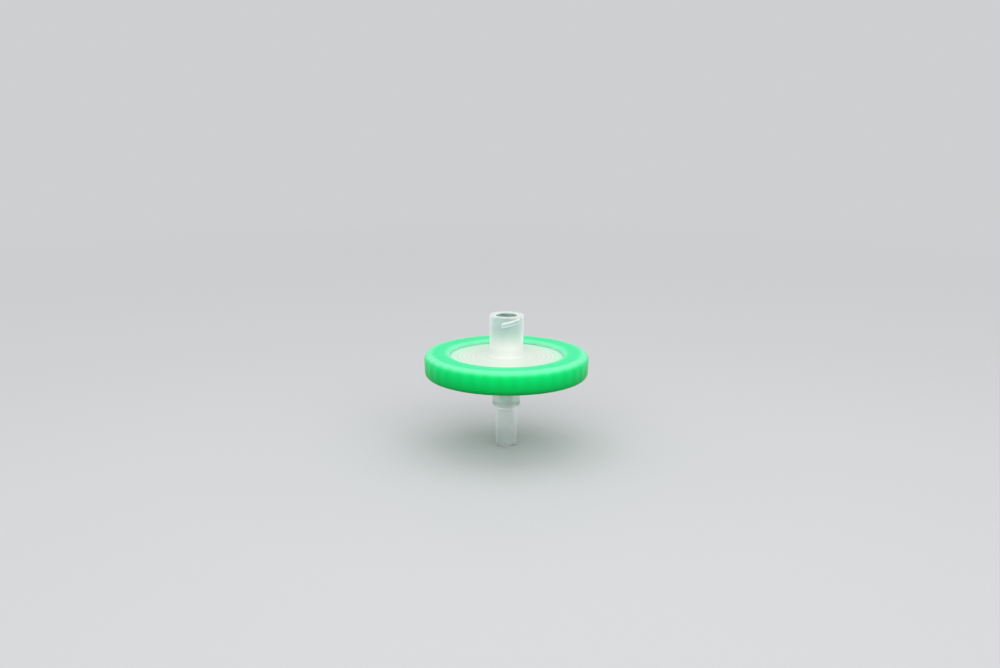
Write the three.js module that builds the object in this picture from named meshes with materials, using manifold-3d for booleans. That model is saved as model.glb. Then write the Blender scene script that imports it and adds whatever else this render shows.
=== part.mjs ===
// Syringe filter of the overmoulded disc kind: a filter membrane is clamped between two moulded
// housing shells, and a ribbed grip ring is moulded round the shells' rims.
//
// Millimetres, +Z up towards the inlet, origin at the centre of the outlet tip's end face, on
// which the filter stands. The front is -Y.

import * as THREE from "three";
import { mergeVertices } from "three/addons/utils/BufferGeometryUtils.js";
import Module from "manifold-3d";

const wasm = await Module();
wasm.setup();

// ---------------------------------------------------------------- driving dimensions

// Luer cones: growth of the diameter for each millimetre of length
const luerTaper = 0.06;

// Outlet: male luer tip, and the plain collar between it and the disc
const tipDiameter = 4.03; // at the end face
const tipLength = 8.5; // end face to collar
const tipEdgeRound = 0.35;
const outletBoreDiameter = 1.7;
const collarStep = 0.53; // collar proud of the tip's root
const collarLength = 6.95; // to the underside of the outlet plate
const collarEdgeRound = 0.42;
const collarRootRound = 0.6;

// Membrane, clamped at its edge between the shells
const membraneDiameter = 25;
const membraneThickness = 0.2;
const membraneEdgePlay = 0.1; // between the membrane's edge and its pocket
const clampWidth = 1.75; // how much of the edge is clamped

// Housing shells
const rimWidth = 1.4; // where the shells meet, outside the membrane's pocket
const outletPlateThickness = 1.05;
const inletPlateThickness = 1;
const outletChamberDepth = 0.4; // the support ribs fill it, up to the membrane
const inletChamberDepth = 0.5;

// Concentric ribs in the two chambers, crossed by radial channels
const supportRibPitch = 1.9;
const supportRibWidth = 0.7;
const flowRibPitch = 0.9;
const flowRibWidth = 0.4;
const flowRibGap = 0.15; // left over the membrane
const channelCount = 8;
const channelWidth = 0.8;
const drainFunnelRadius = 1.5;

// Inlet: female luer-lock hub
const socketDiameter = 4.3; // at the mouth
const socketMouthChamfer = 0.15;
const socketFloorHeight = 0.7; // above the inlet plate's top
const socketFloorLedge = 0.48; // round the bore that leads on
const hubWall = 1.23; // at the mouth
const hubDraft = 0.004; // growth of the radius for each millimetre of height
const hubLength = 8.5; // above the inlet plate
const hubRimRound = 0.2;
const hubRootRound = 1.2;

// Opposed lugs of the right-hand luer-lock thread
const lugCount = 2;
const lugHeight = 0.5; // proud of the hub
const lugEndHeight = 0.2; // proud of the hub at its two ends
const lugRootWidth = 1.1;
const lugCrestWidth = 0.45;
const lugSink = 0.15; // how far its root is let into the hub
const lugLead = 5;
const lugStartAngle = -14; // degrees from the front, towards +X
const lugSweepAngle = 62;
const lugEndBelowRim = 0.62; // middle of the lug's upper end

// Grip ring, moulded over both rims
const overmouldClearance = 0.05; // round the shells' rims
const ringWall = 2.45; // outside the rims
const flangeThickness = 0.75; // over the inlet plate, and under the outlet plate
const flangeLap = 2.35; // how far each flange laps over its plate
const flangeEdgeRound = 0.2;
const ringTopRound = 1.1;
const ringBottomRound = 0.9;
const ringDraft = 0.04; // growth of the outer radius for each millimetre of height
const gripRibCount = 38;
const gripRibDepth = 0.12;

// Facets in a full turn
const shellSegments = 48;
const segmentsPerGripRib = 3;

// ---------------------------------------------------------------- levels and radii they give

const outletPlateBottom = tipLength + collarLength;
const outletPlateTop = outletPlateBottom + outletPlateThickness;
const membraneBottom = outletPlateTop + outletChamberDepth; // and where the rims meet
const membraneTop = membraneBottom + membraneThickness;
const inletPlateBottom = membraneTop + inletChamberDepth;
const inletPlateTop = inletPlateBottom + inletPlateThickness;
const socketFloor = inletPlateTop + socketFloorHeight;
const hubTop = inletPlateTop + hubLength;
const ringBottom = outletPlateBottom - flangeThickness;
const ringTop = inletPlateTop + flangeThickness;

const membraneRadius = membraneDiameter / 2;
const pocketRadius = membraneRadius + membraneEdgePlay;
const filtrationRadius = membraneRadius - clampWidth;
const shellRadius = pocketRadius + rimWidth;
const grooveRadius = shellRadius + overmouldClearance;
const ringRadius = grooveRadius + ringWall;
const windowRadius = shellRadius - flangeLap;
const socketRadius = socketDiameter / 2;
const hubRimRadius = socketRadius + hubWall;
const hubRootRadius = hubRimRadius - hubDraft * hubLength;

// ---------------------------------------------------------------- profiles and solids

const at = (r, z) => new THREE.Vector2(r, z);

/** An arc about (r, z), from one angle to another in degrees, as profile points. */
function arc(r, z, radius, from, to, steps) {
  const points = [];
  for (let i = 0; i <= steps; i++) {
    const angle = THREE.MathUtils.degToRad(from + ((to - from) * i) / steps);
    points.push(at(r + radius * Math.cos(angle), z + radius * Math.sin(angle)));
  }
  return points;
}

/** Geometry with only its positions left and its shared corners merged, as a closed mesh. */
function closed(geometry) {
  geometry.deleteAttribute("normal");
  geometry.deleteAttribute("uv");
  return mergeVertices(geometry, 1e-5);
}

/** Turns a closed profile of (radius, height) points about +Z, starting at the front. */
function revolve(profile, segments) {
  const geometry = new THREE.LatheGeometry([...profile, profile[0]], segments);
  geometry.rotateX(Math.PI / 2);
  return closed(geometry);
}

/** A closed mesh as a solid that can be joined and cut. */
function toSolid(geometry) {
  const vertProperties = Float32Array.from(geometry.getAttribute("position").array);
  const triVerts = Uint32Array.from(geometry.getIndex().array);
  return new wasm.Manifold(new wasm.Mesh({ numProp: 3, vertProperties, triVerts }));
}

/** The mesh of a solid. */
function toGeometry(solid) {
  const mesh = solid.getMesh();
  const geometry = new THREE.BufferGeometry();
  geometry.setAttribute("position", new THREE.BufferAttribute(mesh.vertProperties, 3));
  geometry.setIndex(new THREE.BufferAttribute(mesh.triVerts, 1));
  return geometry;
}

/** Closed mesh through a row of sections, whose corners turn clockwise seen along the row. */
function loft(sections) {
  const corners = sections[0].length;
  const index = [];
  for (let row = 0; row + 1 < sections.length; row++) {
    for (let k = 0; k < corners; k++) {
      const a = row * corners + k;
      const b = row * corners + ((k + 1) % corners);
      index.push(a, a + corners, b, b, a + corners, b + corners);
    }
  }
  const last = (sections.length - 1) * corners;
  for (let k = 1; k + 1 < corners; k++) {
    index.push(0, k, k + 1, last, last + k + 1, last + k);
  }
  const geometry = new THREE.BufferGeometry().setFromPoints(sections.flat());
  geometry.setIndex(index);
  return geometry;
}

// ---------------------------------------------------------------- ribs of the two chambers

/** Concentric ribs from half a pitch inside the chamber's wall down to an inner radius. */
function ribSet(innerRadius, pitch, width, base, tip) {
  const radii = [];
  for (let r = filtrationRadius - pitch / 2; r - pitch / 2 > innerRadius; r -= pitch) {
    radii.unshift(r);
  }
  return { radii, pitch, width, base, tip };
}

/** Profile of a set of ribs, from the axis outwards. */
function ribProfile({ radii, width, base, tip }) {
  return radii.flatMap((r) => [
    at(r - width / 2, base),
    at(r - width / 2, tip),
    at(r + width / 2, tip),
    at(r + width / 2, base),
  ]);
}

/** Cuts radial channels through a set of ribs, ending in the spaces beyond the first and last. */
function cutChannels(solid, { radii, pitch, width, base, tip }) {
  const reach = (pitch + width) / 4;
  const ends = [radii[0] - reach, radii[radii.length - 1] + reach];
  const clearOfTips = tip + (tip - base) / 2;
  const low = Math.min(base, clearOfTips);
  const high = Math.max(base, clearOfTips);
  const half = channelWidth / 2;
  const section = (r) => [
    new THREE.Vector3(r, -half, low),
    new THREE.Vector3(r, -half, high),
    new THREE.Vector3(r, half, high),
    new THREE.Vector3(r, half, low),
  ];
  let cut = solid;
  for (let i = 0; i < channelCount; i++) {
    const channel = loft(ends.map(section)).rotateZ((2 * Math.PI * (i + 0.5)) / channelCount);
    cut = cut.subtract(toSolid(channel));
  }
  return cut;
}

// ---------------------------------------------------------------- outlet housing

/** Lower shell in one moulding: male luer tip, collar, plate, rim and the membrane's support. */
function outletHousing() {
  const tipRadius = tipDiameter / 2;
  const tipRootRadius = tipRadius + (luerTaper * tipLength) / 2;
  const collarRadius = tipRootRadius + collarStep;
  const boreRadius = outletBoreDiameter / 2;
  const supports = ribSet(
    drainFunnelRadius,
    supportRibPitch,
    supportRibWidth,
    outletPlateTop,
    membraneBottom,
  );
  const profile = [
    at(boreRadius, outletPlateBottom),
    at(boreRadius, 0),
    ...arc(tipRadius - tipEdgeRound, tipEdgeRound, tipEdgeRound, -90, 0, 3),
    at(tipRootRadius, tipLength),
    ...arc(collarRadius - collarEdgeRound, tipLength + collarEdgeRound, collarEdgeRound, -90, 0, 3),
    ...arc(collarRadius + collarRootRound, outletPlateBottom - collarRootRound, collarRootRound, 180, 90, 3),
    at(shellRadius, outletPlateBottom),
    at(shellRadius, membraneBottom),
    at(filtrationRadius, membraneBottom),
    at(filtrationRadius, outletPlateTop),
    ...ribProfile(supports).reverse(),
    at(drainFunnelRadius, outletPlateTop),
  ];
  return toGeometry(cutChannels(toSolid(revolve(profile, shellSegments)), supports));
}

// ---------------------------------------------------------------- inlet housing

/** One thread lug: a trapezium carried up a helix round the hub, lower at its two ends. */
function threadLug(startAngle) {
  const steps = 8;
  const sections = [];
  for (let i = 0; i <= steps; i++) {
    const sweep = (lugSweepAngle * i) / steps;
    const angle = THREE.MathUtils.degToRad(startAngle + sweep);
    const middle = hubTop - lugEndBelowRim - (lugLead * (lugSweepAngle - sweep)) / 360;
    const surface = hubRimRadius - hubDraft * (hubTop - middle);
    const crest = i === 0 || i === steps ? lugEndHeight : lugHeight;
    const corner = (r, rise) =>
      new THREE.Vector3(r * Math.sin(angle), -r * Math.cos(angle), middle + rise);
    sections.push([
      corner(surface - lugSink, -lugRootWidth / 2),
      corner(surface + crest, -lugCrestWidth / 2),
      corner(surface + crest, lugCrestWidth / 2),
      corner(surface - lugSink, lugRootWidth / 2),
    ]);
  }
  return loft(sections);
}

/** Upper shell in one moulding: flow ribs, rim, plate, luer-lock hub, socket and thread lugs. */
function inletHousing() {
  const socketEndRadius = socketRadius - (luerTaper * (hubTop - socketFloor)) / 2;
  const boreRadius = socketEndRadius - socketFloorLedge;
  const hubSpread = hubRootRadius + hubRootRound;
  const flowRibs = ribSet(
    hubSpread,
    flowRibPitch,
    flowRibWidth,
    inletPlateBottom,
    membraneTop + flowRibGap,
  );
  const profile = [
    at(boreRadius, inletPlateBottom),
    ...ribProfile(flowRibs),
    at(filtrationRadius, inletPlateBottom),
    at(filtrationRadius, membraneTop),
    at(pocketRadius, membraneTop),
    at(pocketRadius, membraneBottom),
    at(shellRadius, membraneBottom),
    at(shellRadius, inletPlateTop),
    ...arc(hubSpread, inletPlateTop + hubRootRound, hubRootRound, 270, 180, 4),
    ...arc(hubRimRadius - hubRimRound, hubTop - hubRimRound, hubRimRound, 0, 90, 2),
    at(socketRadius + socketMouthChamfer, hubTop),
    at(socketRadius, hubTop - socketMouthChamfer),
    at(socketEndRadius, socketFloor),
    at(boreRadius, socketFloor),
  ];
  let housing = cutChannels(toSolid(revolve(profile, shellSegments)), flowRibs);
  for (let i = 0; i < lugCount; i++) {
    housing = housing.add(toSolid(threadLug(lugStartAngle + (360 * i) / lugCount)));
  }
  return toGeometry(housing);
}

// ---------------------------------------------------------------- membrane

function filterMembrane() {
  const geometry = new THREE.CylinderGeometry(
    membraneRadius,
    membraneRadius,
    membraneThickness,
    shellSegments,
  );
  geometry.rotateX(Math.PI / 2);
  geometry.translate(0, 0, membraneBottom + membraneThickness / 2);
  return closed(geometry);
}

// ---------------------------------------------------------------- grip ring

/** Radius of the ring's drafted wall at a height, on the crests of its ribs. */
const wallRadius = (z) => ringRadius - ringDraft * (ringTop - ringTopRound - z);

/** Trims the ring to a ribbed outline, so the ribs stand full on the side and fade in the rounds. */
function trimToGripRibs(geometry) {
  const position = geometry.getAttribute("position");
  for (let i = 0; i < position.count; i++) {
    const x = position.getX(i);
    const y = position.getY(i);
    const trough = (1 - Math.cos(gripRibCount * Math.atan2(x, -y))) / 2;
    const reach = wallRadius(position.getZ(i)) - gripRibDepth * trough;
    const scale = Math.min(1, reach / Math.hypot(x, y));
    position.setXY(i, x * scale, y * scale);
  }
  return geometry;
}

/** Ring in one moulding: a ribbed outer wall and two flanges that grip the shells' rims. */
function overmouldRing() {
  const edgeRadius = windowRadius + flangeEdgeRound;
  const wallBottom = ringBottom + ringBottomRound;
  const profile = [
    ...arc(edgeRadius, ringBottom + flangeEdgeRound, flangeEdgeRound, 180, 270, 1),
    ...arc(wallRadius(wallBottom) - ringBottomRound, wallBottom, ringBottomRound, -90, 0, 4),
    ...arc(ringRadius - ringTopRound, ringTop - ringTopRound, ringTopRound, 0, 90, 4),
    ...arc(edgeRadius, ringTop - flangeEdgeRound, flangeEdgeRound, 90, 180, 1),
    at(windowRadius, inletPlateTop),
    at(grooveRadius, inletPlateTop),
    at(grooveRadius, outletPlateBottom),
    at(windowRadius, outletPlateBottom),
  ];
  return trimToGripRibs(revolve(profile, gripRibCount * segmentsPerGripRib));
}

// ---------------------------------------------------------------- materials and assembly

const naturalPlastic = () =>
  new THREE.MeshStandardMaterial({
    color: 0xdcebe6,
    roughness: 0.3,
    metalness: 0,
    transparent: true,
    opacity: 0.6,
  });
const membraneWhite = new THREE.MeshStandardMaterial({ color: 0xf4f6f2, roughness: 0.9, metalness: 0 });
const gripGreen = new THREE.MeshStandardMaterial({ color: 0x17d47a, roughness: 0.3, metalness: 0 });

const syringeFilter = new THREE.Group();

function addPiece(name, geometry, material) {
  geometry.computeVertexNormals();
  const mesh = new THREE.Mesh(geometry, material);
  mesh.name = name;
  syringeFilter.add(mesh);
}

addPiece("outlet_housing", outletHousing(), naturalPlastic());
addPiece("filter_membrane", filterMembrane(), membraneWhite);
addPiece("inlet_housing", inletHousing(), naturalPlastic());
addPiece("overmould_ring", overmouldRing(), gripGreen);

export default syringeFilter;
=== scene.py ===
"""Finish of an overmoulded disc syringe filter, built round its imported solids.

Two natural polypropylene shells hold a white membrane, and a green grip ring is moulded round
their rims. Lengths here are in millimetres and become metres as a mesh is made; only the floor,
the lamps and the camera are placed in metres. Heights are above the surface that the outlet tip
stands on, radii are from the flow axis, and angles are turns about that axis, from the front
(-Y) towards +X.
"""

import math

import bmesh
import bpy
import numpy as np
from mathutils import Matrix, Vector

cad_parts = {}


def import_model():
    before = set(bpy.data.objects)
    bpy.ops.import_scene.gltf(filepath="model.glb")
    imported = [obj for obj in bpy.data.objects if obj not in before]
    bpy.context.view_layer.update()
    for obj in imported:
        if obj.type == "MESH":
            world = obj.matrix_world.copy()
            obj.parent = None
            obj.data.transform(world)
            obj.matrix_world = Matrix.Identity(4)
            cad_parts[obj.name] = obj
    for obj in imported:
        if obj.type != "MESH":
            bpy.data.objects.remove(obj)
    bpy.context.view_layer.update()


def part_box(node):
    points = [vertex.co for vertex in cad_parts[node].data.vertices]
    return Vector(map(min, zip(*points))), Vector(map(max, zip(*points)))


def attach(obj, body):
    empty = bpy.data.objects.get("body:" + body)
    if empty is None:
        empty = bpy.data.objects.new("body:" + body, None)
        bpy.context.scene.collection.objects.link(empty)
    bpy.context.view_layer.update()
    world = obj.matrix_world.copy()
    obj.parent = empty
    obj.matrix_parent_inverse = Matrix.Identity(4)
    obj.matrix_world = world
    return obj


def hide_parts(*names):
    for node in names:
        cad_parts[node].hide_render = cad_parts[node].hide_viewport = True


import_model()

MM = 0.001


def extent(node):
    """A solid's radius at the front, its lowest height and its highest, in millimetres."""
    low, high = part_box(node)
    return -low.y / MM, low.z / MM, high.z / MM


# ---------------------------------------------------------------- sizes from the solids

SHELL_RADIUS, TIP_END, PARTING_PLANE = extent("outlet_housing")
MEMBRANE_RADIUS, MEMBRANE_BOTTOM, MEMBRANE_TOP = extent("filter_membrane")
HUB_TOP = extent("inlet_housing")[2]
RING_RADIUS, RING_BOTTOM, RING_TOP = extent("overmould_ring")

# ---------------------------------------------------------------- sizes of the mouldings

SKIN = 0.015  # space left where two pieces touch, so that their faces stay apart

LUER_TAPER = 0.06  # growth of a cone's diameter for each millimetre of its length
TIP_END_RADIUS = 2.015
TIP_LENGTH = 8.5
TIP_EDGE_ROUND = 0.35
OUTLET_BORE_RADIUS = 0.85
COLLAR_STEP = 0.53
COLLAR_EDGE_ROUND = 0.42
COLLAR_ROOT_ROUND = 0.6

FLANGE_THICKNESS = 0.75
FLANGE_LAP = 2.35  # how far a flange reaches in from the shells' rims
FLANGE_EDGE_ROUND = 0.45
FLANGE_EDGE_SLOPE = 0.3  # how far a flange's edge leans inwards as it meets the plate
RING_WALL = 2.45
RING_TOP_ROUND = 1.1
RING_BOTTOM_ROUND = 0.9
RING_DRAFT = 0.04  # growth of the wall's radius for each millimetre of height
RING_SETBACK = 2 * SKIN  # of the wall, so that it stays inside the solid's flat faces
GRIP_RIB_COUNT = 38
GRIP_RIB_DEPTH = 0.09
GRIP_RIB_FADE = 1.2  # height over which the troughs run out, above and below

POCKET_PLAY = 0.1
CLAMP_WIDTH = 1.75
OUTLET_CHAMBER_DEPTH = 0.4
INLET_CHAMBER_DEPTH = 0.5
SUPPORT_RIB_PITCH = 1.9
SUPPORT_RIB_WIDTH = 0.7
FLOW_RIB_PITCH = 0.9
FLOW_RIB_WIDTH = 0.4
FLOW_RIB_GAP = 0.15
CHANNEL_COUNT = 8
CHANNEL_WIDTH = 0.8
CHANNEL_WALL = 0.12  # how far the sides of a channel slope
DRAIN_FUNNEL_RADIUS = 1.5
DRAIN_FUNNEL_DEPTH = 1

SOCKET_RADIUS = 2.15
SOCKET_MOUTH_CHAMFER = 0.15
SOCKET_FLOOR_HEIGHT = 0.7
SOCKET_FLOOR_LEDGE = 0.48
HUB_RIM_RADIUS = 3.38
HUB_DRAFT = 0.004
HUB_RIM_ROUND = 0.12
HUB_ROOT_ROUND = 1.2

LUG_COUNT = 2
LUG_HEIGHT = 0.5
LUG_ROOT_WIDTH = 1.1
LUG_CREST_WIDTH = 0.45
LUG_LEAD = 5  # height that a lug would climb in a full turn
LUG_START_ANGLE = -14
LUG_SWEEP_ANGLE = 62
LUG_END_FADE = 7  # degrees
LUG_END_BELOW_RIM = 0.62

MOULD_RADIUS = 0.08  # left by the tool in the small corners
CHORD_ERROR = 0.004  # between the curves of an outline and its points
MERGE_DISTANCE = 0.0001  # vertices closer than this become one

SHELL_STEP = 1  # longest divisions of the straight stretches of an outline
LUG_STEP = 0.06
MEMBRANE_STEP = 0.25
RING_STEP = 0.3
SHELL_TURNS = 360  # points round a piece
MEMBRANE_TURNS = 240
RING_TURNS = 16 * GRIP_RIB_COUNT

# ---------------------------------------------------------------- heights and radii they give

WINDOW_RADIUS = SHELL_RADIUS - FLANGE_LAP
GROOVE_RADIUS = RING_RADIUS - RING_WALL
INLET_PLATE_TOP = RING_TOP - FLANGE_THICKNESS
OUTLET_PLATE_BOTTOM = RING_BOTTOM + FLANGE_THICKNESS
INLET_PLATE_BOTTOM = MEMBRANE_TOP + INLET_CHAMBER_DEPTH
OUTLET_PLATE_TOP = MEMBRANE_BOTTOM - OUTLET_CHAMBER_DEPTH
POCKET_RADIUS = MEMBRANE_RADIUS + POCKET_PLAY
FILTRATION_RADIUS = MEMBRANE_RADIUS - CLAMP_WIDTH
HUB_ROOT_RADIUS = HUB_RIM_RADIUS - HUB_DRAFT * (HUB_TOP - INLET_PLATE_TOP)
SOCKET_FLOOR = INLET_PLATE_TOP + SOCKET_FLOOR_HEIGHT
SOCKET_END_RADIUS = SOCKET_RADIUS - LUER_TAPER / 2 * (HUB_TOP - SOCKET_FLOOR)
INLET_BORE_RADIUS = SOCKET_END_RADIUS - SOCKET_FLOOR_LEDGE
TIP_ROOT_RADIUS = TIP_END_RADIUS + LUER_TAPER / 2 * TIP_LENGTH
COLLAR_RADIUS = TIP_ROOT_RADIUS + COLLAR_STEP
LUG_ZONE = LUG_END_BELOW_RIM + LUG_LEAD * LUG_SWEEP_ANGLE / 360 + LUG_ROOT_WIDTH
LUG_START_HEIGHT = HUB_TOP - LUG_END_BELOW_RIM - LUG_LEAD * LUG_SWEEP_ANGLE / 360


# ---------------------------------------------------------------- outlines and turned surfaces

def outline(corners, step):
    """Closed outline through corners given as (radius, height, rounding).

    Each corner is replaced by an arc of its rounding, tangent to both sides: the arc starts
    rounding * tan(half the turn) before the corner and swings through the turn, in chords that
    keep within CHORD_ERROR of it. The straight stretches between arcs are divided evenly, with
    no division longer than step, or than a fourth value that the corner before them may have.
    """
    points = np.array([corner[:2] for corner in corners], float)
    rounding = np.array([corner[2] for corner in corners], float)
    ahead = np.roll(points, -1, 0) - points
    ahead /= np.linalg.norm(ahead, axis=1)[:, None]
    behind = np.roll(ahead, 1, 0)
    turn = np.arctan2(
        behind[:, 0] * ahead[:, 1] - behind[:, 1] * ahead[:, 0], (behind * ahead).sum(1)
    )
    cut = rounding * np.abs(np.tan(turn / 2))
    starts, ends = points - behind * cut[:, None], points + ahead * cut[:, None]
    pieces = []
    for k in range(len(points)):
        last = starts[(k + 1) % len(points)]
        if rounding[k] > 0:
            chord = 2 * math.acos(1 - CHORD_ERROR / rounding[k])
            share = np.linspace(0, 1, 1 + math.ceil(abs(turn[k]) / chord))[:-1, None]
            side = np.sign(turn[k]) * np.array([-behind[k, 1], behind[k, 0]])
            centre = starts[k] + rounding[k] * side
            angle = share * turn[k]
            spoke = starts[k] - centre
            across = np.array([-spoke[1], spoke[0]])
            pieces.append(centre + spoke * np.cos(angle) + across * np.sin(angle))
        longest = corners[k][3] if len(corners[k]) > 3 else step
        count = max(1, math.ceil(math.dist(ends[k], last) / longest))
        share = np.arange(count)[:, None] / count
        pieces.append(ends[k] + share * (last - ends[k]))
    return np.concatenate(pieces)


def turned(name, points, turns, relief=None, ends_on_axis=False):
    """Surface swept by an outline as it turns about the flow axis.

    A point at radius r and height z goes to (r sin a, -r cos a, z) for each angle a. relief
    takes the grids of radius, height and angle, and gives the radius and height to use. The
    outline closes on itself, or its two ends lie on the axis, where triangles meet at a point.
    """
    angle = np.arange(turns) * (2 * math.pi / turns)
    radius, angle = np.broadcast_arrays(points[:, :1], angle[None, :])
    height = np.broadcast_to(points[:, 1:], radius.shape)
    if relief:
        radius, height = relief(radius, height, angle)
    places = np.stack([radius * np.sin(angle), -radius * np.cos(angle), height], -1)
    here = np.arange(radius.size).reshape(radius.shape)
    aside = np.roll(here, -1, 1)
    quads = np.stack([here, aside, np.roll(aside, -1, 0), np.roll(here, -1, 0)], -1)
    if ends_on_axis:
        quads = quads[:-1]
    return solid_piece(name, places.reshape(-1, 3) * MM, quads.reshape(-1, 4))


def solid_piece(name, places, faces):
    """A smooth-shaded object with these vertices, in metres, and these faces.

    Vertices that fall on one another are merged, which closes a surface where it ends in a point.
    """
    mesh = bpy.data.meshes.new(name)
    mesh.from_pydata(places, [], faces)
    shape = bmesh.new()
    shape.from_mesh(mesh)
    bmesh.ops.remove_doubles(shape, verts=shape.verts, dist=MERGE_DISTANCE * MM)
    shape.to_mesh(mesh)
    shape.free()
    mesh.shade_smooth()
    piece = bpy.data.objects.new(name, mesh)
    bpy.context.scene.collection.objects.link(piece)
    return piece


def smooth_step(value):
    """0 below 0, 1 above 1, and the cubic 3v^2 - 2v^3 between them."""
    share = np.clip(value, 0, 1)
    return share * share * (3 - 2 * share)


def soft_clamp(value, bend=0.1):
    """The value between 0 and 1, with the bends at both limits rounded into hyperbolas."""
    return (1 + np.hypot(value, bend) - np.hypot(value - 1, bend)) / 2


# ---------------------------------------------------------------- ribs of the two chambers

def rib_radii(inner, pitch):
    """Middles of the concentric ribs, from the chamber's wall inwards, smallest first."""
    first = FILTRATION_RADIUS - pitch / 2
    count = math.ceil((first - pitch / 2 - inner) / pitch)
    return [first - pitch * k for k in range(count)][::-1]


def rib_corners(radii, width, base, tip):
    """Outline corners of a row of ribs, from the axis outwards."""
    half = width / 2
    return [
        (r + side * half, z, MOULD_RADIUS)
        for r in radii
        for side, z in ((-1, base), (-1, tip), (1, tip), (1, base))
    ]


def channelled(radii, pitch, base):
    """Relief that sinks the ribs to their base where a radial channel crosses them.

    A point's distance from the middle line of the nearest channel is r times the sine of the
    angle to it. Its height above the base is multiplied by a smooth step over the channel's
    sloping side, from 0 inside the channel to 1 outside.
    """

    def relief(radius, height, angle):
        spacing = 2 * math.pi / CHANNEL_COUNT
        aside = radius * np.abs(np.sin(angle % spacing - spacing / 2))
        kept = smooth_step((aside - CHANNEL_WIDTH / 2) / CHANNEL_WALL + 0.5)
        in_ribs = (radius > radii[0] - pitch / 2) & (radius < radii[-1] + pitch / 2)
        on_ribs = in_ribs & (np.abs(height - base) < INLET_CHAMBER_DEPTH)
        return radius, np.where(on_ribs, base + (height - base) * kept, height)

    return relief


# ---------------------------------------------------------------- outlet shell

def outlet_shell():
    """Lower moulding: tapered tip, collar, plate, and the ribs that the membrane lies on."""
    supports = rib_radii(DRAIN_FUNNEL_RADIUS, SUPPORT_RIB_PITCH)
    top = PARTING_PLANE - SKIN
    corners = [
        (OUTLET_BORE_RADIUS, OUTLET_PLATE_TOP - DRAIN_FUNNEL_DEPTH, MOULD_RADIUS),
        (OUTLET_BORE_RADIUS, TIP_END, MOULD_RADIUS),
        (TIP_END_RADIUS, TIP_END, TIP_EDGE_ROUND),
        (TIP_ROOT_RADIUS, TIP_LENGTH, MOULD_RADIUS),
        (COLLAR_RADIUS, TIP_LENGTH, COLLAR_EDGE_ROUND),
        (COLLAR_RADIUS, OUTLET_PLATE_BOTTOM, COLLAR_ROOT_ROUND),
        (SHELL_RADIUS, OUTLET_PLATE_BOTTOM + SKIN, MOULD_RADIUS),
        (SHELL_RADIUS, top, MOULD_RADIUS),
        (FILTRATION_RADIUS, top, MOULD_RADIUS),
        (FILTRATION_RADIUS, OUTLET_PLATE_TOP, MOULD_RADIUS),
        *rib_corners(supports, SUPPORT_RIB_WIDTH, OUTLET_PLATE_TOP, top)[::-1],
        (DRAIN_FUNNEL_RADIUS, OUTLET_PLATE_TOP, MOULD_RADIUS),
    ]
    relief = channelled(supports, SUPPORT_RIB_PITCH, OUTLET_PLATE_TOP)
    return turned("outlet_shell", outline(corners, SHELL_STEP), SHELL_TURNS, relief)


# ---------------------------------------------------------------- inlet shell

def lug_rise(height, angle):
    """Height of the thread lugs over the hub's wall.

    Each lug is a ridge whose middle climbs one lead in a full turn. Across, it falls evenly from
    the crest's edge to the root's edge, with both bends rounded by a soft clamp, and along, it
    rises over its end fade. The angle along a lug is counted from 90 degrees before its start,
    so that the jump of a full turn falls well away from it.
    """
    rise = np.zeros(np.broadcast(height, angle).shape)
    for k in range(LUG_COUNT):
        start = LUG_START_ANGLE + 360 * k / LUG_COUNT
        along = (np.degrees(angle) - start + 90) % 360 - 90
        middle = LUG_START_HEIGHT + LUG_LEAD * along / 360
        slope = (LUG_ROOT_WIDTH - LUG_CREST_WIDTH) / 2
        across = soft_clamp((LUG_ROOT_WIDTH / 2 - np.abs(height - middle)) / slope)
        ends = np.minimum(along, LUG_SWEEP_ANGLE - along) / LUG_END_FADE
        rise = np.maximum(rise, LUG_HEIGHT * across * smooth_step(ends + 0.5))
    return rise


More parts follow.
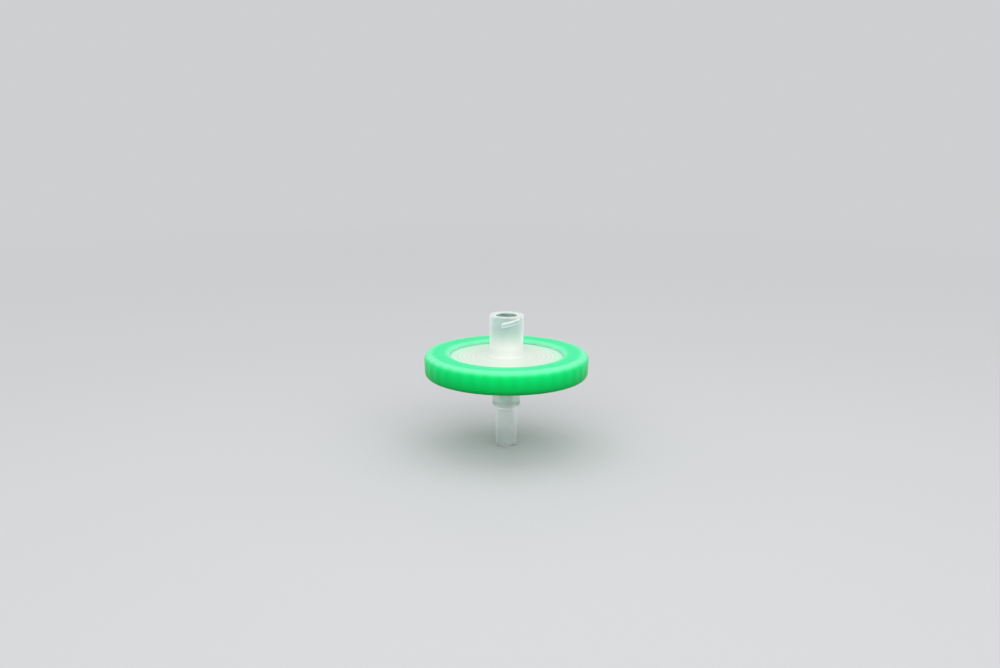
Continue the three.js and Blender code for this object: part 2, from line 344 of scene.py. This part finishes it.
def inlet_shell():
    """Upper moulding: flow ribs, rim, plate, and the luer-lock hub with its socket and lugs.

    The lugs are raised by moving the outer half of the hub's wall outwards by their rise, which
    a smooth step carries from nothing in the middle of the wall to all of it outside.
    """
    flow_ribs = rib_radii(HUB_ROOT_RADIUS + HUB_ROOT_ROUND, FLOW_RIB_PITCH)
    low = PARTING_PLANE + SKIN
    corners = [
        (INLET_BORE_RADIUS, INLET_PLATE_BOTTOM, MOULD_RADIUS),
        *rib_corners(flow_ribs, FLOW_RIB_WIDTH, INLET_PLATE_BOTTOM, MEMBRANE_TOP + FLOW_RIB_GAP),
        (FILTRATION_RADIUS, INLET_PLATE_BOTTOM, MOULD_RADIUS),
        (FILTRATION_RADIUS, MEMBRANE_TOP + SKIN, MOULD_RADIUS),
        (POCKET_RADIUS, MEMBRANE_TOP + SKIN, MOULD_RADIUS / 2),
        (POCKET_RADIUS, low, MOULD_RADIUS / 2),
        (SHELL_RADIUS, low, MOULD_RADIUS),
        (SHELL_RADIUS, INLET_PLATE_TOP - SKIN, MOULD_RADIUS),
        (HUB_ROOT_RADIUS, INLET_PLATE_TOP, HUB_ROOT_ROUND),
        (HUB_RIM_RADIUS - HUB_DRAFT * LUG_ZONE, HUB_TOP - LUG_ZONE, 0, LUG_STEP),
        (HUB_RIM_RADIUS, HUB_TOP, HUB_RIM_ROUND),
        (SOCKET_RADIUS + SOCKET_MOUTH_CHAMFER, HUB_TOP, MOULD_RADIUS / 2),
        (SOCKET_RADIUS, HUB_TOP - SOCKET_MOUTH_CHAMFER, MOULD_RADIUS / 2),
        (SOCKET_END_RADIUS, SOCKET_FLOOR, MOULD_RADIUS),
        (INLET_BORE_RADIUS, SOCKET_FLOOR, MOULD_RADIUS),
    ]
    channels = channelled(flow_ribs, FLOW_RIB_PITCH, INLET_PLATE_BOTTOM)
    wall = HUB_RIM_RADIUS - SOCKET_RADIUS

    def relief(radius, height, angle):
        outside = smooth_step((radius - SOCKET_RADIUS) / wall * 2 - 1)
        in_zone = height > HUB_TOP - LUG_ZONE
        rise = np.where(in_zone, lug_rise(height, angle) * outside, 0)
        return channels(radius + rise, height, angle)

    return turned("inlet_shell", outline(corners, SHELL_STEP), SHELL_TURNS, relief)


# ---------------------------------------------------------------- membrane and grip ring

def membrane_disc():
    """Thin round membrane, with a soft edge where it was punched out."""
    bottom, top = MEMBRANE_BOTTOM + SKIN, MEMBRANE_TOP - SKIN
    corners = [
        (0, bottom, 0),
        (MEMBRANE_RADIUS, bottom, MOULD_RADIUS / 2),
        (MEMBRANE_RADIUS, top, MOULD_RADIUS / 2),
        (0, top, 0),
    ]
    points = outline(corners, MEMBRANE_STEP)
    return turned("membrane_disc", points, MEMBRANE_TURNS, ends_on_axis=True)


def grip_ring():
    """Green moulding round both rims, with shallow round ribs on its outer wall.

    The wall's radius grows with height by its draft. The wall is set back by the rib depth times
    (1 - cos(count * angle))/2, times two smooth steps in height that run the troughs out below
    and above, in the shoulders. The flanges' edges lean inwards as they meet the plates. Their
    feet lie half a skin nearer each other than the middles of the plates' faces do, because
    those faces fall away by a whole skin towards their rims.
    """
    foot_radius = WINDOW_RADIUS - FLANGE_EDGE_SLOPE

    def wall(height):
        return RING_RADIUS - RING_SETBACK - RING_DRAFT * (RING_TOP - RING_TOP_ROUND - height)

    corners = [
        (WINDOW_RADIUS, RING_BOTTOM, FLANGE_EDGE_ROUND),
        (wall(RING_BOTTOM), RING_BOTTOM, RING_BOTTOM_ROUND),
        (wall(RING_TOP), RING_TOP, RING_TOP_ROUND),
        (WINDOW_RADIUS, RING_TOP, FLANGE_EDGE_ROUND),
        (foot_radius, INLET_PLATE_TOP - SKIN / 2, SKIN),
        (GROOVE_RADIUS, INLET_PLATE_TOP + SKIN, MOULD_RADIUS),
        (GROOVE_RADIUS, OUTLET_PLATE_BOTTOM - SKIN, MOULD_RADIUS),
        (foot_radius, OUTLET_PLATE_BOTTOM + SKIN / 2, SKIN),
    ]

    def relief(radius, height, angle):
        trough = GRIP_RIB_DEPTH * (1 - np.cos(GRIP_RIB_COUNT * angle)) / 2
        below = smooth_step((height - RING_BOTTOM - RING_BOTTOM_ROUND / 2) / GRIP_RIB_FADE)
        above = smooth_step((RING_TOP - height - RING_TOP_ROUND / 2) / GRIP_RIB_FADE)
        outside = radius > GROOVE_RADIUS + RING_WALL / 2
        return radius - trough * below * above * outside, height

    return turned("grip_ring", outline(corners, RING_STEP), RING_TURNS, relief)


# ---------------------------------------------------------------- colours and nodes

def written(colour):
    """A screen colour, as three numbers from 0 to 255, as the linear colour of a socket."""
    share = np.array(colour, float) / 255
    linear = np.where(share <= 0.04045, share / 12.92, ((share + 0.055) / 1.055) ** 2.4)
    return (*linear.tolist(), 1.0)


def grey(level):
    """The screen colour of an even grey."""
    return level, level, level


BLACK, WHITE = grey(0), grey(255)


class Nodes:
    """Short calls for the node tree of one material."""

    def __init__(self, name):
        self.material = bpy.data.materials.new(name)
        self.material.use_nodes = True
        self.tree = self.material.node_tree
        self.shader = self.tree.nodes["Principled BSDF"]
        self.place = self.add("ShaderNodeTexCoord").outputs["Object"]

    def add(self, kind, inputs=None, **settings):
        """A node with these settings; an input is a value, or the socket that feeds it."""
        node = self.tree.nodes.new(kind)
        for key, value in settings.items():
            setattr(node, key, value)
        for key, value in (inputs or {}).items():
            self.feed(node.inputs[key], value)
        return node

    def feed(self, socket, value):
        if isinstance(value, bpy.types.NodeSocket):
            self.tree.links.new(value, socket)
        else:
            socket.default_value = value

    def math(self, operation, *values):
        node = self.add("ShaderNodeMath", dict(enumerate(values)), operation=operation)
        return node.outputs[0]

    def noise(self, size, detail):
        """Noise with features about this many millimetres across."""
        inputs = {"Vector": self.place, "Scale": 1 / (size * MM), "Detail": detail}
        return self.add("ShaderNodeTexNoise", inputs).outputs["Fac"]

    def ramp(self, value, stops):
        """Screen colours at stops of a value, in the value's own units, and even between them."""
        low, high = stops[0][0], stops[-1][0]
        share = self.add("ShaderNodeMapRange", {"Value": value, "From Min": low, "From Max": high})
        node = self.add("ShaderNodeValToRGB", {"Fac": share.outputs[0]})
        elements = node.color_ramp.elements
        elements[0].color, elements[1].color = written(stops[0][1]), written(stops[-1][1])
        for at, colour in stops[1:-1]:
            elements.new((at - low) / (high - low)).color = written(colour)
        return node.outputs[0]

    def mix(self, share, first, second, blend="MIX"):
        """Two colours mixed or multiplied by a share; each is a socket or a screen colour."""
        node = self.add("ShaderNodeMix", data_type="RGBA", blend_type=blend)
        self.feed(node.inputs[0], share)
        for socket, colour in ((node.inputs[6], first), (node.inputs[7], second)):
            self.feed(socket, written(colour) if isinstance(colour, tuple) else colour)
        return node.outputs[2]

    def axes(self):
        """The three parts of the place on the piece, in metres."""
        return self.add("ShaderNodeSeparateXYZ", {0: self.place}).outputs

    def radius(self):
        """Distance from the flow axis, in millimetres."""
        axes = self.axes()
        squares = [self.math("MULTIPLY", axes[k], axes[k]) for k in (0, 1)]
        length = self.math("SQRT", self.math("ADD", *squares))
        return self.math("DIVIDE", length, MM)

    def height(self):
        """Height above the surface that the tip stands on, in millimetres."""
        return self.math("DIVIDE", self.axes()[2], MM)

    def angle(self):
        """Turn about the flow axis, from the front towards +X, in radians."""
        axes = self.axes()
        return self.math("ARCTAN2", axes[0], self.math("MULTIPLY", axes[1], -1.0))

    def painted_ring_glow(self):
        """How much painted glow of the ring's green light a plate shows, from its middle out to
        the ring.
        """
        return self.ramp(self.radius(), [(8.2, BLACK), (10.3, grey(148)), (11.5, WHITE)])

    def between(self, radii, pitch):
        """1 half way between concentric ribs, 0 over their middles and beyond the row."""
        radius = self.radius()
        turn = self.math("SUBTRACT", radius, radii[-1])
        wave = self.math("COSINE", self.math("MULTIPLY", turn, 2 * math.pi / pitch))
        ends = [
            (radii[0] - pitch, BLACK),
            (radii[0], WHITE),
            (radii[-1], WHITE),
            (radii[-1] + pitch, BLACK),
        ]
        gaps = self.math("MULTIPLY_ADD", wave, -0.5, 0.5)
        return self.math("MULTIPLY", self.ramp(radius, ends), gaps)

    def clearness(self, value, power):
        """Transmission that falls off where light takes a longer way through the wall.

        It is multiplied by 1 less this power of how far the surface turns away from the eye.
        """
        facing = self.add("ShaderNodeLayerWeight", {"Blend": 0.5}).outputs["Facing"]
        grazing = self.math("POWER", facing, power)
        return self.math("MULTIPLY", value, self.math("SUBTRACT", 1.0, grazing))

    def bump(self, value, depth):
        """Bump of this depth in millimetres, for a value from 0 to 1."""
        node = self.add("ShaderNodeBump", {"Height": value, "Distance": depth * MM})
        self.feed(self.shader.inputs["Normal"], node.outputs[0])

    def set(self, **sockets):
        """Feeds the shader's sockets, named with underscores for spaces."""
        for key, value in sockets.items():
            self.feed(self.shader.inputs[key.replace("_", " ")], value)


# ---------------------------------------------------------------- materials

POLYPROPYLENE_IOR = 1.49
OUTLET_RIB_SHADE_ABOVE = OUTLET_PLATE_BOTTOM - 0.15  # heights of the plates' painted shade between ribs
INLET_RIB_SHADE_BELOW = INLET_PLATE_TOP + 0.1
RIM_FACE_ABOVE = HUB_TOP - 0.02  # height over which only the flat of the hub's rim lies
WALL_COLOUR_STARTS = 14.4  # radius from which the ring's colour goes over to that by height
WALL_COLOUR_BLEND = 0.3  # how softly it gets there
TROUGH_SHADE = 0.08  # share of painted shade, a deeper green, at the bottom of a trough


def natural_plastic(name, roughness):
    """Unpigmented polypropylene: see-through, a little milky and cool, with a moulded gloss.

    The gloss is duller than the given roughness by up to 0.06, in soft clouds.
    """
    nodes = Nodes(name)
    clouds = nodes.noise(3.0, detail=3.0)
    nodes.bump(nodes.noise(0.25, detail=2.0), 0.003)
    nodes.set(
        Roughness=nodes.math("MULTIPLY_ADD", clouds, 0.06, roughness),
        IOR=POLYPROPYLENE_IOR,
        Subsurface_Weight=1.0,
        Subsurface_Radius=(1.0, 1.0, 1.0),
        Subsurface_Scale=1.5 * MM,
    )
    return nodes, clouds


def outlet_plastic():
    """The thin-walled lower shell, which is the clearer one.

    Its collar and plate carry a painted glow of the ring's green light, and painted shade between
    the ribs under the membrane shows as faint rings.
    """
    nodes, clouds = natural_plastic("outlet_polypropylene", roughness=0.06)
    height = nodes.height()
    colour = nodes.mix(clouds, (240, 248, 245), (249, 252, 251))
    # painted glow: the ring's green light carried down into the collar and plate
    green = nodes.ramp(height, [(8.3, BLACK), (8.8, grey(120)), (15.4, grey(150))])
    colour = nodes.mix(green, colour, (150, 240, 190))
    supports = rib_radii(DRAIN_FUNNEL_RADIUS, SUPPORT_RIB_PITCH)
    on_plate = nodes.math("GREATER_THAN", height, OUTLET_RIB_SHADE_ABOVE)
    # painted shade between the support ribs, seen through the plate as faint rings
    rings = nodes.math("MULTIPLY", nodes.between(supports, SUPPORT_RIB_PITCH), on_plate)
    colour = nodes.mix(rings, colour, (222, 236, 228), "MULTIPLY")
    # painted glow: the ring's green light shown in the plate near its edge
    colour = nodes.mix(nodes.painted_ring_glow(), colour, (90, 240, 165))
    clear_by_height = [
        (0.1, grey(205)),
        (0.7, grey(242)),
        (7.9, grey(242)),
        (8.4, grey(196)),
        (9.3, grey(214)),
        (14.2, grey(232)),
        (15.4, grey(160)),
    ]
    clear = nodes.ramp(height, clear_by_height)
    nodes.set(Base_Color=colour, Transmission_Weight=nodes.clearness(clear, power=4.0))
    return nodes.material


def socket_shade(nodes, radius, height):
    """How much a point lies in the shade inside the socket's mouth."""
    depth = nodes.math("SUBTRACT", HUB_TOP, height)
    inside = nodes.math("LESS_THAN", radius, SOCKET_RADIUS + SOCKET_MOUTH_CHAMFER / 2)
    deep = nodes.ramp(depth, [(0.1, BLACK), (0.3, WHITE), (0.55, WHITE), (1.0, BLACK)])
    return nodes.math("MULTIPLY", inside, deep)


def rim_land_shade(nodes, radius, height):
    """How much painted shade a point gets, on the flat of the hub's rim away from its two edges.
    """
    on_rim = nodes.math("GREATER_THAN", height, RIM_FACE_ABOVE)
    land = nodes.ramp(radius, [(2.38, BLACK), (2.55, WHITE), (3.05, WHITE), (3.25, BLACK)])
    return nodes.math("MULTIPLY", land, on_rim)


def lug_flank_highlight(nodes, radius, height):
    """How much of a painted highlight a point gets, on the upper flank of a thread lug.

    By radius that is between the hub's wall and the lug's crest, and by height above the middle
    of the lug, which climbs one lead in a full turn from the lug's start.
    """
    turn = nodes.math("SUBTRACT", nodes.angle(), math.radians(LUG_START_ANGLE))
    along = nodes.math("FLOORED_MODULO", turn, 2 * math.pi / LUG_COUNT)
    middle = nodes.math("MULTIPLY_ADD", along, LUG_LEAD / (2 * math.pi), LUG_START_HEIGHT)
    upper = nodes.math("GREATER_THAN", height, middle)
    flank = [(3.42, BLACK), (3.54, grey(180)), (3.74, grey(180)), (3.84, BLACK)]
    return nodes.math("MULTIPLY", nodes.ramp(radius, flank), upper)


def inlet_plastic():
    """The upper shell, milkiest where its plate lies over the white membrane.

    Its colour carries painted light and shade by height: lighter at the hub's foot, where the
    membrane glows, darker and bluer in the middle, lightest at the rim. The plate shows painted
    shade between its flow ribs as faint rings, and a painted glow of the ring's green near its
    edge. The flat of the rim and the inside of the mouth are darker with painted shade, and the
    lugs' upper flanks carry a painted highlight.
    """
    nodes, clouds = natural_plastic("inlet_polypropylene", roughness=0.14)
    radius, height = nodes.radius(), nodes.height()
    # painted light and shade: lighter at the hub's foot where the membrane glows, darker and bluer
    # in its middle, lightest at the rim
    painted_light_by_height = [
        (18.78, (222, 235, 219)),
        (19.0, (239, 241, 235)),
        (19.2, (237, 234, 233)),
        (21.5, (246, 241, 240)),
        (22.6, (240, 247, 242)),
        (23.6, (229, 248, 240)),
        (24.8, (228, 243, 244)),
        (25.9, (234, 246, 246)),
        (26.7, (226, 240, 238)),
        (26.98, (248, 254, 251)),
    ]
    colour = nodes.mix(clouds, nodes.ramp(height, painted_light_by_height), (250, 253, 251), "MULTIPLY")
    flow_ribs = rib_radii(HUB_ROOT_RADIUS + HUB_ROOT_ROUND, FLOW_RIB_PITCH)
    on_plate = nodes.math("LESS_THAN", height, INLET_RIB_SHADE_BELOW)
    # painted shade between the flow ribs, seen through the plate as faint rings
    rings = nodes.math("MULTIPLY", nodes.between(flow_ribs, FLOW_RIB_PITCH), on_plate)
    colour = nodes.mix(rings, colour, (229, 239, 229), "MULTIPLY")
    colour = nodes.mix(socket_shade(nodes, radius, height), colour, (160, 182, 174), "MULTIPLY")
    # painted shade on the flat of the rim, which leaves its edges looking lit
    colour = nodes.mix(rim_land_shade(nodes, radius, height), colour, (206, 226, 220), "MULTIPLY")
    flank = lug_flank_highlight(nodes, radius, height)
    # painted highlight on the lugs' upper flanks
    colour = nodes.mix(flank, colour, (250, 255, 253))
    # painted glow of the ring's green light in the plate near its edge
    ring_glow = nodes.painted_ring_glow()
    colour = nodes.mix(ring_glow, colour, (130, 247, 189))
    clear_by_height = [
        (18.62, grey(80)),
        (18.8, grey(30)),
        (21.0, grey(60)),
        (24.0, grey(200)),
        (25.2, grey(218)),
    ]
    clear = nodes.ramp(height, clear_by_height)
    # less clear where the ring's glow is painted in
    clear = nodes.math("MULTIPLY", clear, nodes.math("SUBTRACT", 1.0, ring_glow))
    # less clear where the flanks' highlight is painted
    clear = nodes.math("MULTIPLY", clear, nodes.math("MULTIPLY_ADD", flank, -0.8, 1.0))
    nodes.set(
        Base_Color=colour,
        Transmission_Weight=nodes.clearness(clear, power=1.0),
        Sheen_Weight=1.0,
        Sheen_Roughness=0.4,
    )
    return nodes.material


def membrane_white():
    """White microporous sheet: matt, with a fine felted grain."""
    nodes = Nodes("porous_membrane")
    clouds = nodes.noise(2.5, detail=2.0)
    colour = nodes.mix(clouds, (248, 250, 247), (254, 254, 252))
    nodes.bump(nodes.noise(0.12, detail=4.0), 0.02)
    nodes.set(Base_Color=colour, Roughness=0.9, Specular_IOR_Level=0.2)
    return nodes.material


def ring_green():
    """Translucent green polypropylene, with light and shade painted into its colour.

    The flanges are coloured by radius, with a painted glow that is lightest at their thin inner
    edges, and the wall by height, a deep green with painted shade darker towards its bottom and a
    painted highlight at the shoulder. The grip ribs' troughs get painted shade, a little deeper
    green.
    """
    nodes = Nodes("green_polypropylene")
    radius = nodes.radius()
    # painted glow: lightest at the flange's thin inner edge, darker out towards the shoulder
    painted_flange_glow = [
        (11.35, (170, 250, 208)),
        (11.65, (124, 240, 181)),
        (11.9, (108, 236, 174)),
        (12.6, (54, 230, 153)),
        (14.6, (38, 228, 149)),
        (16.5, (30, 224, 142)),
    ]
    # painted shade darker towards the wall's bottom, and a painted highlight at the shoulder above
    painted_wall_light = [
        (14.7, (2, 120, 48)),
        (15.7, (3, 182, 83)),
        (18.1, (8, 229, 119)),
        (18.6, (42, 228, 138)),
        (19.1, (116, 236, 178)),
    ]
    beyond = nodes.math("SUBTRACT", radius, WALL_COLOUR_STARTS)
    beyond = nodes.math("SMOOTH_MIN", beyond, 1.0, WALL_COLOUR_BLEND)
    on_wall = nodes.add("ShaderNodeClamp", {"Value": beyond}).outputs[0]
    flange = nodes.ramp(radius, painted_flange_glow)
    wall = nodes.ramp(nodes.height(), painted_wall_light)
    colour = nodes.mix(on_wall, flange, wall)
    clouds = nodes.noise(4.0, detail=3.0)
    colour = nodes.mix(nodes.math("MULTIPLY", clouds, 0.12), colour, (20, 190, 96))
    # painted shade in the grip ribs' troughs
    wave = nodes.math("COSINE", nodes.math("MULTIPLY", nodes.angle(), float(GRIP_RIB_COUNT)))
    trough = nodes.math("MULTIPLY_ADD", wave, -TROUGH_SHADE / 2, TROUGH_SHADE / 2)
    colour = nodes.mix(nodes.math("MULTIPLY", trough, on_wall), colour, (0, 150, 60))
    nodes.bump(nodes.noise(0.3, detail=2.0), 0.004)
    nodes.set(
        Base_Color=colour,
        Roughness=nodes.math("MULTIPLY_ADD", clouds, 0.06, 0.26),
        IOR=POLYPROPYLENE_IOR,
        Subsurface_Weight=0.8,
        Specular_IOR_Level=0.06,
        Subsurface_Radius=(0.35, 1.0, 0.6),
        Subsurface_Scale=1.0 * MM,
    )
    return nodes.material


# ---------------------------------------------------------------- stage, light and camera

FLOOR_REACH = 3.0  # metres, from the flow axis to each side
FLOOR_COLOUR = (200, 201, 203)
FLOOR_GRAIN = 0.98  # of the colour, where its grain is darkest
BACKDROP_COLOUR = (206, 207, 209)
BACKDROP_STARTS, BACKDROP_FULL = 70, 320  # from the flow axis, along the floor
AMBIENT_STRENGTH = 0.68


def seen_directly(tree):
    """1 for rays that show a surface or the world as it is, and 0 for those that light others."""
    rays = tree.nodes.new("ShaderNodeLightPath").outputs
    seen = rays["Is Camera Ray"]
    for name in ("Is Glossy Ray", "Is Transmission Ray"):
        either = tree.nodes.new("ShaderNodeMath")
        either.operation = "MAXIMUM"
        tree.links.new(seen, either.inputs[0])
        tree.links.new(rays[name], either.inputs[1])
        seen = either.outputs[0]
    return seen


def floor():
    """Plain pale floor that runs out into the backdrop, and that a camera below looks through."""
    turns = ((-1, -1), (1, -1), (1, 1), (-1, 1))
    corners = [(x * FLOOR_REACH, y * FLOOR_REACH, 0) for x, y in turns]
    plane = solid_piece("floor", corners, [(0, 1, 2, 3)])
    nodes = Nodes("pale_floor")
    grain = nodes.noise(0.6, detail=3.0)
    darker = tuple(FLOOR_GRAIN * value for value in FLOOR_COLOUR)
    colour = nodes.mix(grain, darker, FLOOR_COLOUR)
    nodes.set(Base_Color=colour, Roughness=0.6, Specular_IOR_Level=0.2)
    out = nodes.ramp(nodes.radius(), [(BACKDROP_STARTS, BLACK), (BACKDROP_FULL, WHITE)])
    share = nodes.math("MULTIPLY", out, seen_directly(nodes.tree))
    backdrop = nodes.add("ShaderNodeEmission", {"Color": written(BACKDROP_COLOUR)}).outputs[0]
    surface = nodes.add("ShaderNodeMixShader", {0: share, 1: nodes.shader.outputs[0], 2: backdrop})
    behind = nodes.add("ShaderNodeNewGeometry").outputs["Backfacing"]
    clear = nodes.add("ShaderNodeBsdfTransparent").outputs[0]
    both = nodes.add("ShaderNodeMixShader", {0: behind, 1: surface.outputs[0], 2: clear})
    nodes.feed(nodes.tree.nodes["Material Output"].inputs["Surface"], both.outputs[0])
    plane.data.materials.append(nodes.material)


def world():
    """Even light from all round, which shows as a plain pale backdrop."""
    shell = bpy.data.worlds.new("studio")
    bpy.context.scene.world = shell
    shell.use_nodes = True
    tree = shell.node_tree
    ambient = tree.nodes["Background"]
    ambient.inputs["Color"].default_value = (1, 1, 1, 1)
    ambient.inputs["Strength"].default_value = AMBIENT_STRENGTH
    backdrop = tree.nodes.new("ShaderNodeBackground")
    backdrop.inputs["Color"].default_value = written(BACKDROP_COLOUR)
    mixed = tree.nodes.new("ShaderNodeMixShader")
    tree.links.new(seen_directly(tree), mixed.inputs[0])
    tree.links.new(ambient.outputs[0], mixed.inputs[1])
    tree.links.new(backdrop.outputs[0], mixed.inputs[2])
    tree.links.new(mixed.outputs[0], tree.nodes["World Output"].inputs["Surface"])


def softbox(name, place, target, width, depth, watts):
    """Rectangular lamp at a place, in metres, turned towards a target."""
    lamp = bpy.data.lights.new(name, "AREA")
    lamp.shape = "RECTANGLE"
    lamp.size, lamp.size_y, lamp.energy = width, depth, watts
    holder = bpy.data.objects.new(name, lamp)
    bpy.context.scene.collection.objects.link(holder)
    holder.location = place
    holder.rotation_euler = (Vector(target) - Vector(place)).to_track_quat("-Z", "Y").to_euler()


def lights():
    """A broad softbox overhead and a lower, wide one in front, a little to the right."""
    middle = (0, 0, PARTING_PLANE * MM)
    softbox("overhead", (0, 0.06, 0.55), middle, width=0.7, depth=0.6, watts=1.15)
    softbox("front_fill", (0.05, -0.42, 0.33), middle, width=0.9, depth=0.4, watts=1.85)


VIEW_DISTANCE = 0.28  # metres, from the middle of the grip ring
VIEW_ELEVATION = 14.25
CAMERA_YAW = 0.277
CAMERA_TILT = 13.028
CAMERA_ROLL = 0.288
LENS = 50.15


def camera():
    """Camera in front of the filter, a little above it.

    It stands away from the middle of the ring at the view's elevation, and looks along +Y, but
    for its tilt downwards, its yaw about the vertical and its small roll.
    """
    data = bpy.data.cameras.new("camera")
    data.lens, data.clip_start, data.clip_end = LENS, 0.01, 20
    holder = bpy.data.objects.new("camera", data)
    bpy.context.scene.collection.objects.link(holder)
    rise = math.radians(VIEW_ELEVATION)
    middle = Vector((0, 0, (RING_BOTTOM + RING_TOP) / 2 * MM))
    away = Vector((0, -math.cos(rise), math.sin(rise)))
    holder.matrix_world = (
        Matrix.Translation(middle + VIEW_DISTANCE * away)
        @ Matrix.Rotation(math.radians(CAMERA_YAW), 4, "Z")
        @ Matrix.Rotation(math.radians(90 - CAMERA_TILT), 4, "X")
        @ Matrix.Rotation(math.radians(CAMERA_ROLL), 4, "Z")
    )
    bpy.context.scene.camera = holder


# ---------------------------------------------------------------- assembly

def dress(piece, node, material):
    """Gives a piece its material, and lets it stand for its solid."""
    piece.data.materials.append(material)
    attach(piece, "root")
    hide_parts(node)


dress(outlet_shell(), "outlet_housing", outlet_plastic())
dress(inlet_shell(), "inlet_housing", inlet_plastic())
dress(membrane_disc(), "filter_membrane", membrane_white())
dress(grip_ring(), "overmould_ring", ring_green())

floor()
world()
lights()
camera()
bpy.context.scene.view_settings.view_transform = "Standard"
